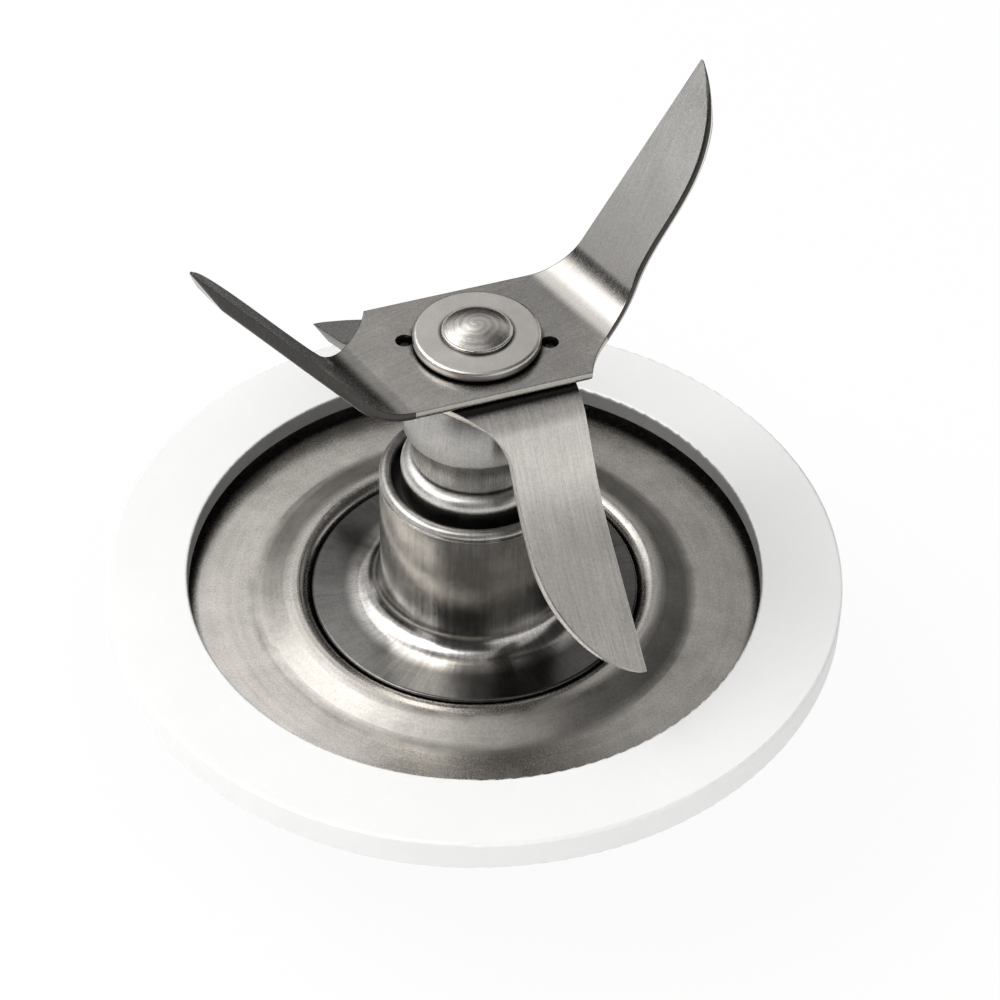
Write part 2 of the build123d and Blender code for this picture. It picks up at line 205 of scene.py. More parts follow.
class JarBladeColours(bpy.types.PropertyGroup):
    """Colours of the finishes."""

    blade_steel: colour_property("Blade steel", "Rolled sheet of the blades", (0.7, 0.67, 0.63))
    # Painted shade: the upper blade's sheared edges are coloured near black, for the shade and dark reflections on its
    # edge faces.
    sheared_edge: colour_property("Sheared edge", "Edges of the blades' sheet", (0.075, 0.071, 0.066))
    turned_steel: colour_property("Turned steel", "Housing, sleeve, collar and cup", (0.54, 0.523, 0.499))
    pressed_steel: colour_property("Pressed steel", "Stamped plate", (0.55, 0.523, 0.485))
    plain_steel: colour_property("Plain steel", "Nut, washer and shaft", (0.52, 0.496, 0.465))
    white_rubber: colour_property("White rubber", "Sealing ring", (0.84, 0.838, 0.83))
    black_rubber: colour_property("Black rubber", "Flange seal and shaft seal", (0.018, 0.018, 0.018))
    black_nylon: colour_property("Black nylon", "Drive socket and thrust washers", (0.028, 0.028, 0.03))
    bronze: colour_property("Sintered bronze", "Bearing bushes", (0.47, 0.31, 0.16))
    felt: colour_property("Felt", "Oil ring", (0.22, 0.21, 0.19))


class JarBladeStage(bpy.types.PropertyGroup):
    """Floor and light."""

    floor_colour: colour_property("Floor", "Colour of the floor", (0.9, 0.9, 0.9))
    floor_lift: FloatProperty(
        name="Floor lift", description="How far the floor is brought to white for the camera and in reflections",
        default=0.93, subtype="FACTOR")
    key_power: FloatProperty(
        name="Key", description="Power of the large lamp at the left", default=2.2, unit="POWER")
    fill_power: FloatProperty(
        name="Fill", description="Power of the soft lamp overhead", default=1.35, unit="POWER")
    ambient: FloatProperty(
        name="Ambient", description="Brightness of the studio as it lights the object", default=0.5)
    horizon: FloatProperty(
        name="Horizon", description="Brightness of the studio walls as they show and reflect", default=1.0)
    ceiling: FloatProperty(
        name="Ceiling", description="Brightness of the studio overhead as it reflects", default=0.45)


class Value:
    """A socket in shader maths. An operator on it adds a Math node to its finish."""

    def __init__(self, finish, socket):
        self.finish = finish
        self.socket = socket

    def __add__(self, other):
        return self.finish.maths("ADD", self, other)

    def __sub__(self, other):
        return self.finish.maths("SUBTRACT", self, other)

    def __rsub__(self, other):
        return self.finish.maths("SUBTRACT", other, self)

    def __mul__(self, other):
        return self.finish.maths("MULTIPLY", self, other)

    def __truediv__(self, other):
        return self.finish.maths("DIVIDE", self, other)

    def __rtruediv__(self, other):
        return self.finish.maths("DIVIDE", other, self)

    def __pow__(self, other):
        return self.finish.maths("POWER", self, other)

    __radd__ = __add__
    __rmul__ = __mul__


class Finish:
    """Nodes of a material or of the world, built by expressions."""

    def __init__(self, owner):
        owner.use_nodes = True
        self.owner = owner
        self.tree = owner.node_tree
        self.tree.nodes.clear()

    def node(self, kind, settings=None, inputs=None, output=0):
        """Adds a node, sets its settings, then its sockets by name or number, and returns one output."""
        made = self.tree.nodes.new(kind)
        for name, setting in (settings or {}).items():
            setattr(made, name, setting)
        for name, value in (inputs or {}).items():
            if isinstance(value, Value):
                self.tree.links.new(value.socket, made.inputs[name])
            else:
                made.inputs[name].default_value = value
        return Value(self, made.outputs[output]) if made.outputs else None

    def maths(self, operation, *values):
        return self.node("ShaderNodeMath", {"operation": operation}, dict(enumerate(values)))

    def limited(self, value, low, high):
        """Smooth step of a value from 0 at low to 1 at high."""
        return self.node("ShaderNodeMapRange", {"interpolation_type": "SMOOTHSTEP"},
                         {"Value": value, "From Min": low, "From Max": high})

    def mixed(self, share, first, second):
        """Colour between two others."""
        first, second = (c if isinstance(c, Value) else (*c, 1.0) for c in (first, second))
        return self.node("ShaderNodeMix", {"data_type": "RGBA"}, {0: share, 6: first, 7: second}, 2)

    def spread(self, share, colour, low, high):
        """Shade of a colour between two factors."""
        return self.mixed(share, scaled(colour, low), scaled(colour, high))

    def place(self, turn=0.0):
        """Place on the piece in millimetres, turned in plan so that a pattern follows an arm."""
        at = self.node("ShaderNodeTexCoord", output="Object")
        return self.node("ShaderNodeMapping", {"vector_type": "POINT"},
                         {"Vector": at, "Rotation": (0.0, 0.0, np.radians(turn)), "Scale": (1 / MM,) * 3})

    def stretched(self, at, stretch):
        """Place scaled by its own factor along each axis."""
        return self.node("ShaderNodeVectorMath", {"operation": "MULTIPLY"}, {0: at, 1: stretch})

    def noise(self, at, scale, detail=3.0, roughness=0.55):
        return self.node("ShaderNodeTexNoise", None,
                         {"Vector": at, "Scale": scale, "Detail": detail, "Roughness": roughness})

    def parts(self, at):
        """The three numbers of a place."""
        first = self.node("ShaderNodeSeparateXYZ", None, {0: at})
        return [Value(self, out) for out in first.socket.node.outputs]

    def joined(self, *numbers):
        return self.node("ShaderNodeCombineXYZ", None, dict(enumerate(numbers)))

    def surface(self, colour, roughness, normal, **constants):
        """Principled surface, of metal unless a constant says otherwise. Returns its material."""
        inputs = {"Base Color": colour, "Roughness": roughness, "Normal": normal, "Metallic": 1.0}
        inputs.update((name.replace("_", " "), value) for name, value in constants.items())
        self.output(self.node("ShaderNodeBsdfPrincipled", None, inputs))
        return self.owner

    def output(self, shader):
        kind = "ShaderNodeOutputWorld" if isinstance(self.owner, bpy.types.World) else "ShaderNodeOutputMaterial"
        self.node(kind, None, {"Surface": shader})

    def background_share(self):
        """1 for what the camera sees directly, in a reflection or through a clear piece, otherwise 0."""
        rays = [self.node("ShaderNodeLightPath", output=f"Is {kind} Ray")
                for kind in ("Camera", "Glossy", "Transmission")]
        return self.maths("MAXIMUM", self.maths("MAXIMUM", rays[0], rays[1]), rays[2])

    def bumped(self, height, depth):
        """Normal of a surface whose height is 0 to 1 times a depth in millimetres."""
        return self.node("ShaderNodeBump", None, {"Strength": 1.0, "Distance": depth * MM, "Height": height})


def new_finish(name):
    return Finish(bpy.data.materials.new(name))


def scaled(colour, factor):
    return tuple(min(1.0, part * factor) for part in colour)


def around(middle, *weights):
    """A number varied by patterns: the distance of each from a half is added, times its weight."""
    for pattern, weight in weights:
        middle = middle + weight * (pattern - 0.5)
    return middle


def distance(first, *others):
    """Root of the sum of the squares of numbers."""
    total = first * first
    for other in others:
        total = total + other * other
    return total ** 0.5


def brushed_sheet(name, colour, plan, shade_to, covered, brushing):
    """Rolled sheet steel: fine lines along the arm, a mottled grain, slow clouds, and painted shade near the shaft.

    The painted shade lies round the washer or, on a covered blade, along the arm as far as the blade on it reaches and
    shades it.
    The hub of a blade that isn't covered is painted darker than its arms, a painted shade.
    """
    finish = new_finish(name)
    at = finish.place(-plan)
    x, y, z = finish.parts(at)
    lines = finish.noise(finish.stretched(at, (0.22, 7.0, 0.22)), 1.0, 4.0, 0.6)
    grain = finish.noise(at, 4.2, 4.0, 0.7)
    cloud = finish.noise(at, 0.22, 2.0)
    share = around(0.5, (lines, brushing), (grain, 0.9), (cloud, 0.5))
    out = finish.maths("ABSOLUTE", x) if covered else distance(x, y)
    # Painted shade: near black round the washer, or along the covered arm under the upper blade.
    unshaded = finish.limited(around(out, (grain, 0.2)), shade_to, shade_to + SHADE_FADE)
    bright = finish.spread(share, colour, *BLADE_SHADES)
    # Painted shade: the hub is a darker copy of the arms' steel, fading out towards the arms.
    if not covered:
        darkened = finish.spread(share, scaled(colour, HUB_SHADE), *BLADE_SHADES)
        bright = finish.mixed(finish.limited(distance(x, y, z - blades_top), *HUB_FADE), darkened, bright)
    return finish.surface(
        finish.mixed(unshaded, scaled(colour, 0.05), bright),
        around(0.26, (grain, 0.16), (lines, 0.1), (cloud, 0.08)),
        finish.bumped(lines, 0.002))


def sheared_edge(name, colour):
    """Sheared edge of a sheet: torn grain across the thickness."""
    finish = new_finish(name)
    at = finish.place()
    grain = finish.noise(at, 5.0, 4.0, 0.7)
    tear = finish.noise(finish.stretched(at, (6.0, 6.0, 0.8)), 1.0, 3.0, 0.6)
    return finish.surface(
        finish.spread(around(0.5, (grain, 0.8), (tear, 0.8)), colour, 0.7, 1.3),
        around(0.4, (grain, 0.16)),
        finish.bumped(0.5 * grain + 0.5 * tear, 0.006))


def turned_steel(name, colour, roughness, line_depth, streaking, dull=None, darkening_factor=0.1, satin=None):
    """Turned and polished steel: streaks up the sides and out along the faces, faint rings, patches and grain.

    The streaks change fast with the direction from the axis and slowly with height and radius. The darkening function
    gives, from the finish, the radius and the height, how far the steel is painted darker, and satin how far it is left
    unpolished; where the darkening lies in hollows and under overhangs it is painted shade.
    """
    finish = new_finish(name)
    at = finish.place()
    x, y, z = finish.parts(at)
    radius = distance(x, y)
    streaks = finish.noise(
        finish.joined(x / radius * 42.0, y / radius * 42.0, (z + radius) * 0.14), 1.0, 4.0, 0.65)
    rings = finish.noise(finish.joined(radius * 6.0, z * 6.0, x * 0.06 + y * 0.05), 1.0, 3.0, 0.6)
    patches = finish.noise(at, 0.5, 3.0)
    grain = finish.noise(at, 7.0, 2.0)
    share = around(0.5, (streaks, streaking), (rings, 0.3), (patches, 0.9), (grain, 0.8))
    steel = finish.spread(share, colour, *STEEL_SHADES)
    # Painted darkening: a darker copy of the steel wherever the darkening function asks for it.
    if dull:
        dulled = finish.spread(share, scaled(colour, darkening_factor), *STEEL_SHADES)
        steel = finish.mixed(dull(finish, around(radius, (grain, 0.15)), around(z, (grain, 0.15))), steel, dulled)
    polish = roughness * around(1.0, (streaks, 0.6), (patches, 0.5))
    if satin:
        polish = polish + (SATIN_ROUGHNESS - roughness) * satin(finish, radius, z)
    return finish.surface(
        steel, polish, finish.bumped(0.75 * streaks + 0.25 * rings, line_depth),
        Anisotropic=0.4 * streaking, Anisotropic_Rotation=0.25)


def pressed_plate(name, colour):
    """Satin stamped sheet: clouds, fine speckle, faint drawing marks round the axis, and a painted shadow along the
    ring's inner edge.

    The slope round the raised lip is darker and rougher.
    """
    finish = new_finish(name)
    at = finish.place()
    x, y, _ = finish.parts(at)
    radius = distance(x, y)
    rings = finish.noise(finish.joined(radius * 2.2, x * 0.05, y * 0.05), 1.0, 3.0, 0.6)
    cloud = finish.noise(at, 0.3, 6.0, 0.66)
    speckle = finish.noise(at, 5.0, 3.0, 0.7)
    share = around(0.5, (cloud, 0.9), (speckle, 0.9), (rings, 0.4))
    # Painted shadow where the plate meets the sealing ring's inner edge.
    ring_shadow = finish.limited(around(radius, (speckle, 0.8)), RING_INSIDE - 0.9, RING_INSIDE - 0.1)
    wander = around(radius, (cloud, 2.0))
    slope = finish.limited(wander, *SLOPE_IN) * (1 - finish.limited(wander, *SLOPE_OUT))
    satin = finish.spread(share, colour, *STEEL_SHADES)
    darkened = finish.spread(share, scaled(colour, SLOPE_SHADE), *STEEL_SHADES)
    return finish.surface(
        finish.mixed(ring_shadow, finish.mixed(slope, satin, darkened), scaled(colour, 0.08)),
        around(0.27 + 0.14 * slope, (cloud, 0.12), (speckle, 0.1)),
        finish.bumped(0.4 * speckle + 0.2 * rings + 0.4 * cloud, 0.009))


def spun_head(name, colour):
    """Shaft steel, with the swirl that peening leaves round the axis of the head."""
    finish = new_finish(name)
    at = finish.place()
    x, y, z = finish.parts(at)
    radius = distance(x, y)
    angle = finish.maths("ARCTAN2", y, x)
    wander = finish.noise(at, 1.6, 3.0)
    swirl = 0.5 + 0.5 * finish.maths("SINE", radius * 11.0 + angle * 2.0 + wander * 7.0)
    fine = finish.noise(finish.joined(radius * 9.0, z * 6.0, x * 0.2 + y * 0.2), 1.0, 3.0, 0.6)
    return finish.surface(
        finish.spread(around(0.5, (swirl, 0.35), (fine, 0.8)), colour, 0.65, 1.35),
        around(0.28, (fine, 0.16), (wander, 0.1)),
        finish.bumped(0.45 * swirl + 0.55 * fine, 0.012))


def rolled_steel(name, colour, roughness):
    """Plain machined or plated steel: grain, clouds and a little unevenness."""
    finish = new_finish(name)
    at = finish.place()
    grain = finish.noise(at, 6.0, 4.0, 0.65)
    cloud = finish.noise(at, 0.4, 3.0)
    return finish.surface(
        finish.spread(around(0.5, (grain, 0.8), (cloud, 0.7)), colour, 0.82, 1.15),
        around(roughness, (grain, 0.12), (cloud, 0.14)),
        finish.bumped(grain, 0.006))


def washer_face(name, colour, roughness):
    """Blanked washer: satin grain, and painted shadow round the head that holds it and under its lower edge."""
    finish = new_finish(name)
    at = finish.place()
    x, y, z = finish.parts(at)
    grain = finish.noise(at, 6.0, 4.0, 0.65)
    cloud = finish.noise(at, 0.5, 3.0)
    # Painted shadow: near black round the rivet's head and along the washer's lower edge.
    unshaded = finish.limited(distance(x, y), *HEAD_SHADOW) * finish.limited(z, blades_top + 0.15, blades_top + 0.55)
    satin = finish.spread(around(0.5, (grain, 0.7), (cloud, 0.6)), colour, 0.7, 1.3)
    return finish.surface(
        finish.mixed(unshaded, scaled(colour, 0.1), satin),
        around(roughness, (grain, 0.12), (cloud, 0.1)),
        finish.bumped(grain, 0.005))


def moulded(name, colour, roughness, spread, scale, depth, walled=False):
    """Moulded rubber or plastic, or sintered metal: an even colour with a fine cast grain and soft smudges.

    A ring that is walled is painted grey along its inner wall, which stands in the jar: a painted shade.
    """
    finish = new_finish(name)
    at = finish.place()
    grain = finish.noise(at, scale, 4.0, 0.65)
    smudge = finish.noise(at, 0.16, 4.0, 0.6)
    share = around(0.5, (grain, 0.8), (smudge, 0.9))
    shade = finish.spread(share, colour, 1 - spread, 1 + spread)
    if walled:
        x, y, _ = finish.parts(at)
        # Painted shade: the ring's inner wall is greyed.
        unshaded = finish.limited(around(distance(x, y), (grain, 0.12)), RING_INSIDE + 0.02, RING_INSIDE + 0.16)
        shade = finish.mixed(unshaded, finish.spread(share, colour, *WALL_SHADES), shade)
    return finish.surface(
        shade, around(roughness, (grain, 0.14), (smudge, 0.16)), finish.bumped(grain, depth), Metallic=0.0)


def dress(material, *nodes):
    """Gives CAD pieces a finish through their material slots."""
    for node in nodes:
        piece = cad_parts[node]
        if not piece.material_slots:
            piece.data.materials.append(material)
        for slot in piece.material_slots:
            slot.material = material


def grid_faces(rows, columns, closed_rows=False):
    """Quads between neighbouring points of a grid whose columns close into a loop."""
    row = np.arange(rows if closed_rows else rows - 1)[:, None]
    column = np.arange(columns)[None, :]
    next_row, next_column = (row + 1) % rows, (column + 1) % columns
    corners = (row * columns + column, row * columns + next_column,
               next_row * columns + next_column, next_row * columns + column)
    return np.stack(np.broadcast_arrays(*corners), axis=-1).reshape(-1, 4).tolist()


def solid_piece(name, points, closed_rows=False, slots=0, finishes=()):
    """Closed mesh over a grid of points in millimetres: rows of loops, with end caps unless the rows close.

    slots numbers the finishes of the faces, and the caps get the second finish if there is one.
    """
    rows, columns = points.shape[:2]
    faces = grid_faces(rows, columns, closed_rows)
    slots = np.broadcast_to(slots, (len(faces) // columns, columns)).ravel()
    if not closed_rows:
        faces += [list(range(columns)), list(range((rows - 1) * columns, rows * columns))]
        slots = np.append(slots, np.minimum(slots.max(), (1, 1)))
    mesh = bpy.data.meshes.new(name)
    mesh.from_pydata((points.reshape(-1, 3) * MM).tolist(), [], faces)
    mesh.polygons.foreach_set("material_index", slots.astype(np.int32))
    shape = bmesh.new()
    shape.from_mesh(mesh)
    bmesh.ops.recalc_face_normals(shape, faces=shape.faces)
    shape.to_mesh(mesh)
    shape.free()
    for finish in finishes:
        mesh.materials.append(finish)
    piece = bpy.data.objects.new(name, mesh)
    bpy.context.scene.collection.objects.link(piece)
    return piece


def shaded(piece, sharp):
    """Smooth shading, with edges kept sharp above an angle in degrees."""
    piece.data.shade_smooth()
    piece.data.set_sharp_from_angle(angle=np.radians(sharp))
    return piece


def combined(piece, tool, operation):
    """Cuts a tool out of a piece or adds it, and leaves the result as the piece's own mesh."""
    modifier = piece.modifiers.new(operation.lower(), "BOOLEAN")
    modifier.object, modifier.operation, modifier.solver = tool, operation, "EXACT"
    bpy.context.view_layer.update()
    result = bpy.data.meshes.new_from_object(piece.evaluated_get(bpy.context.evaluated_depsgraph_get()))
    piece.modifiers.clear()
    piece.data = result
    bpy.data.objects.remove(tool)
    return piece


def turned_in_plan(points, degrees):
    """Points turned about the vertical axis."""
    turn = np.radians(degrees)
    x, y = points[..., 0], points[..., 1]
    turned = points.copy()
    turned[..., 0] = x * np.cos(turn) - y * np.sin(turn)
    turned[..., 1] = x * np.sin(turn) + y * np.cos(turn)
    return turned


def smooth_curve(through, first_way, last_way):
    """Curve through points with given directions at its ends.

    Cubic pieces over the chord lengths, with the slope at each inner point chosen so that curvature runs on.
    """
    through = np.asarray(through, float)
    steps = np.diff(through, axis=0)
    chords = np.linalg.norm(steps, axis=1)
    knots = np.concatenate(([0.0], np.cumsum(chords)))
    count = len(through)
    balance, pull = np.eye(count), np.zeros_like(through)
    pull[0], pull[-1] = (np.asarray(way) / np.linalg.norm(way) for way in (first_way, last_way))
    inner = np.arange(1, count - 1)
    balance[inner, inner - 1] = 1 / chords[:-1]
    balance[inner, inner] = 2 / chords[:-1] + 2 / chords[1:]
    balance[inner, inner + 1] = 1 / chords[1:]
    pull[inner] = 3 * (steps[:-1] / chords[:-1, None] ** 2 + steps[1:] / chords[1:, None] ** 2)
    slopes = np.linalg.solve(balance, pull)
    along = np.linspace(0, knots[-1], CURVE_STEPS)
    cell = np.clip(np.searchsorted(knots, along, side="right") - 1, 0, count - 2)
    chord = chords[cell][:, None]
    s = ((along - knots[cell]) / chords[cell])[:, None]
    return (through[cell] * (1 + 2 * s) * (1 - s) ** 2 + through[cell + 1] * s ** 2 * (3 - 2 * s)
            + slopes[cell] * chord * s * (1 - s) ** 2 - slopes[cell + 1] * chord * s ** 2 * (1 - s))


def setback(radius, angle):
    """Flat length that a fold takes up on each side of its corner: radius times the tangent of half the angle."""
    return radius * np.tan(abs(angle) / 2)


def folded(along, folds):
    """Reach, height and slope of the upper face at distances along a flat arm.

    The arm runs straight up to a fold, then turns on an arc and runs straight on. A fold is the distance to
    its sharp corner, the arc's radius and its angle.
    """
    reach, height, slope = (np.zeros_like(along) for _ in range(3))
    heading, done = 0.0, 0.0
    for corner, radius, angle in folds:
        length = setback(radius, angle)
        run = np.clip(along, done, corner - length) - done
        turned = heading + angle * np.clip((along - corner + length) / (2 * length), 0, 1)
        arc = np.sign(angle) * radius
        reach += run * np.cos(heading) + arc * (np.sin(turned) - np.sin(heading))
        height += run * np.sin(heading) - arc * (np.cos(turned) - np.cos(heading))
        slope = np.where(along > corner - length, turned, slope)
        heading, done = heading + angle, corner + length
    run = np.maximum(along, done) - done
    return reach + run * np.cos(heading), height + run * np.sin(heading), slope


def edge_columns(inward, width_limit, bevel, roll, sheet):
    """Columns of the section down one edge, as distances in from the edge and depths below the upper face.

    They go from the flat upper face over the small round or, where bevel goes from 0 to 1, the ground bevel,
    down the edge, and along a quarter circle round the rolled lower corner to the flat lower face. bow places
    the middle of the round on a circle and the middle of the bevel halfway. Where the arm is narrow, the
    distances shrink with its width.
    """
    round_ = sheet.edge_round / MM
    top_in = round_ + bevel * (sheet.bevel_width / MM - round_)
    top_down = round_ + bevel * (sheet.bevel_depth / MM - round_)
    bow = 0.29 + 0.21 * bevel
    share = np.minimum(inward, width_limit / (roll + EDGE_SUPPORT))
    zero = np.zeros_like(bevel)
    arc = np.linspace(0, np.pi / 2, ROLL_STEPS)
    insets = [top_in + EDGE_SUPPORT, top_in, bow * top_in, zero]
    insets += [zero + roll * (1 - np.cos(a)) for a in arc] + [zero + roll + EDGE_SUPPORT]
    depths = [zero, zero, bow * top_down, top_down]
    depths += [zero + sheet_thickness - roll * (1 - np.sin(a)) for a in arc] + [zero + sheet_thickness]
    return [share * inset for inset in insets], depths


def sheet_blade(name, edge, spine, right_folds, left_folds, plan, upper_face, roll, sheet, finishes,
                left_edge):
    """Bent sheet blade from its flat outline.

    Rows run across the arm at each distance along it, from the outline's low side to its high side, which is
    the low side turned by 180 degrees. Each row is one loop round the section, and the rows are then carried
    along the folded arm and turned to their place in plan. The finishes are those of the faces, of the edges and
    of the underside, and left_edge numbers the one on the left arm's edges.
    """
    low_line = np.vstack((-np.asarray(spine)[::-1], edge[1:]))
    low_line[:, 0] = np.maximum.accumulate(low_line[:, 0])
    bends = [way * (corner + setback(radius, angle) * np.linspace(-1, 1, FOLD_STEPS))
             for way, folds in ((1, right_folds), (-1, left_folds)) for corner, radius, angle in folds]
    along = np.concatenate((edge[:, 0], -edge[:, 0], low_line[:, 0], -low_line[:, 0],
                            np.linspace(-edge[0, 0], edge[0, 0], HUB_STEPS), *bends))
    along = np.unique(np.round(along, 3))
    low = np.interp(along, *low_line.T)
    high = -np.interp(-along, *low_line.T)
    kept = high - low > TIP_WIDTH
    along, low, high = along[kept], low[kept], high[kept]
    columns, depths = [], []
    for line, way, arm in ((low, 1.0, along), (high, -1.0, -along)):
        folds = right_folds if way > 0 else left_folds
        corner, radius, angle = folds[-1]
        bevel = np.clip((arm - corner - setback(radius, angle)) / BEVEL_RUN, 0, 1)
        bevel = bevel * bevel * (3 - 2 * bevel)
        inward = np.sqrt(1 + np.gradient(line, along) ** 2)
        insets, downs = edge_columns(inward, EDGE_SHARE * (high - low), bevel, roll, sheet)
        columns.append([line + way * inset for inset in insets])
        depths.append(downs)
    shares = np.linspace(0, 1, 6)[1:-1]
    low_in, high_in = columns[0], columns[1]
    across_top = [low_in[0] + share * (high_in[0] - low_in[0]) for share in shares]
    across_foot = [high_in[-1] + share * (low_in[-1] - high_in[-1]) for share in shares]
    flat, foot = np.zeros_like(along), np.full_like(along, sheet_thickness)
    across = np.stack(low_in[::-1] + across_top + high_in + across_foot, axis=1)
    depth = np.stack(depths[0][::-1] + [flat] * len(shares) + depths[1] + [foot] * len(shares), axis=1)
    to_tip = np.minimum(along - along[0], along[-1] - along) / TIP_LENGTH
    depth *= TIP_LEFT + (1 - TIP_LEFT) * np.clip(to_tip, 0, 1)[:, None]

    side = np.where(along < 0, -1.0, 1.0)
    right, left = folded(np.maximum(along, 0), right_folds), folded(np.maximum(-along, 0), left_folds)
    reach, height, slope = (np.where(along < 0, b, a)[:, None] for a, b in zip(right, left))
    points = np.stack((side[:, None] * (reach + depth * np.sin(slope)), across,
                       upper_face + height - depth * np.cos(slope)), axis=-1)
    sides, hub = len(low_in), right_folds[0][0] - HUB_END
    middle = ((along[1:] + along[:-1]) / 2)[:, None]
    slots = np.zeros((len(middle), across.shape[1]))
    slots[:, 2 * sides + len(shares) - 1:] = len(finishes) - 1
    for cells, arm in ((sides - 2 - SHEARED_COLUMNS, middle), (sides + len(shares) + SHEARED_COLUMNS, -middle)):
        sheared = np.where(arm > 0, SHEARED_ON_CUTTING, SHEARED_ON_PLAIN) * (np.abs(arm) > hub)
        slots[:, cells] = np.where(SHEARED_COLUMNS <= sheared, np.where(middle < 0, left_edge, 1), 0)
    return solid_piece(name, turned_in_plan(points, plan), slots=slots, finishes=finishes)


def circle(radius, steps):
    """Points round a circle in plan."""
    angle = np.linspace(0, 2 * np.pi, steps, endpoint=False)
    return radius * np.stack((np.cos(angle), np.sin(angle)), axis=1)


def prism(name, outline, foot, top):
    """Straight prism over a closed outline."""
    levels = np.array([foot, top])[:, None, None] * np.ones((1, len(outline), 1))
    return solid_piece(name, np.concatenate((np.stack((outline, outline)), levels), axis=-1))


def revolved(name, outline, centre=(0.0, 0.0), cut=None):
    """Closed outline of radius and height carried round the vertical axis, its radius cut by a function."""
    angle = np.linspace(0, 2 * np.pi, TURN_STEPS, endpoint=False)[:, None]
    radius, height = outline[None, :, 0], outline[None, :, 1]
    radius = radius - cut(outline[:, 0], height, angle) if cut else radius + 0 * angle
    points = np.stack((centre[0] + radius * np.cos(angle), centre[1] + radius * np.sin(angle),
                       height + 0 * angle), axis=-1)
    return solid_piece(name, points, closed_rows=True)


def rounded_outline(corners, steps=9):
    """Closed outline with its corners rounded.

    A corner is a radius from the axis, a height and a rounding. Its arc is a rational quadratic curve from
    tangent point to tangent point, weighted by the sine of half the corner's angle, which is a true circle.
    """
    corners = np.asarray(corners, float)
    at, rounding = corners[:, :2], corners[:, 2:]
    before, after = np.roll(at, 1, axis=0) - at, np.roll(at, -1, axis=0) - at
    before /= np.linalg.norm(before, axis=1, keepdims=True)
    after /= np.linalg.norm(after, axis=1, keepdims=True)
    half = np.arccos(np.clip(np.sum(before * after, axis=1, keepdims=True), -1, 1)) / 2
    setback = rounding / np.tan(half)
    t = np.linspace(0, 1, steps)[None, :, None]
    first, middle, last = (1 - t) ** 2, 2 * t * (1 - t) * np.sin(half)[:, None], t ** 2
    arcs = (first * (at + before * setback)[:, None] + middle * at[:, None]
            + last * (at + after * setback)[:, None]) / (first + middle + last)
    points = arcs.reshape(-1, 2)
    return points[np.linalg.norm(points - np.roll(points, 1, axis=0), axis=1) > 1e-6]


def divided(outline, spacing):
    """Outline with its runs divided where spacing, one length a run, asks for it."""
    following = np.roll(outline, -1, axis=0)
    lengths = np.linalg.norm(following - outline, axis=1)
    counts = np.maximum(1, np.ceil(lengths / spacing)).astype(int)
    run = np.repeat(np.arange(len(outline)), counts)
    share = (np.arange(len(run)) - np.repeat(np.cumsum(counts) - counts, counts)) / counts[run]
    return outline[run] + share[:, None] * (following - outline)[run]


def tenon_tool():
    """Prism for the hole over the shaft's tenon: a circle held between two flats."""
    outline = circle(TENON_RADIUS, 96)
    outline[:, 1] = np.clip(outline[:, 1], -TENON_FLAT, TENON_FLAT)
    return prism("tenon_hole", turned_in_plan(outline, TENON_TURN), blades_foot - 1.0, blades_top + 1.0)


def upper_finishes(colours):
    """Finishes of the upper blade's faces, sheared edges and underside."""
    washer = millimetres("top_washer")[1][0]
    return (brushed_sheet("upper_blade_steel", scaled(colours.blade_steel, 1.16), UPPER_PLAN, washer, False, 0.6),
            # Painted shade: near-black edges.
            sheared_edge("upper_blade_edge", colours.sheared_edge),
            rolled_steel("upper_blade_underside", scaled(colours.blade_steel, 0.6), 0.38))


def lower_finishes(colours):
    """Finishes of the lower blade's faces, edges and underside."""
    return (brushed_sheet("lower_blade_steel", colours.blade_steel, LOWER_PLAN, LOWER_COVER, True, 1.0),
            sheared_edge("lower_blade_edge", colours.blade_steel),
            # Painted shade: the underside, also used on the left arm's edges, is a darker copy of the blade steel, so
            # that it and its reflections read dark.
            rolled_steel("lower_blade_underside", scaled(colours.blade_steel, 0.4), 0.42))


def finish_blade(blade, node):
    """Shades a blade and puts it in the place of its CAD node."""
    shaded(blade, 60.0)
    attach(blade, "rotor")
    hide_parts(node)


class JARBLADES_OT_upper_blade(bpy.types.Operator):
    """Upper sheet blade, both arms bent up, with its holes"""

    bl_idname = "jar_blades.upper_blade"
    bl_label = "Upper blade"

    def execute(self, context):
        sheet, colours = context.scene.jar_blade_sheet, context.scene.jar_blade_colours
        edge, spine, ways = (
            turned_in_plan(np.asarray(line, float), -UPPER_SKEW) for line in (UPPER_EDGE, UPPER_SPINE, UPPER_EDGE_WAYS))
        fold = sheet.upper_fold_at / MM, sheet.upper_fold_radius / MM
        blade = sheet_blade(
            "upper_blade_sheet", smooth_curve(edge, *ways), spine, [(*fold, sheet.upper_right_up)],
            [(*fold, sheet.upper_left_up)], UPPER_PLAN, blades_top, sheet.upper_roll / MM, sheet,
            upper_finishes(colours), 1)
        blade = combined(blade, tenon_tool(), "DIFFERENCE")
        for place in PIP_PLACES:
            tool = prism("pip_hole", place + circle(PIP_HOLE, 48),
                         blades_top - 2 * sheet_thickness, blades_top + sheet_thickness)
            blade = combined(blade, tool, "DIFFERENCE")
        finish_blade(blade, "upper_blade")
        return {"FINISHED"}


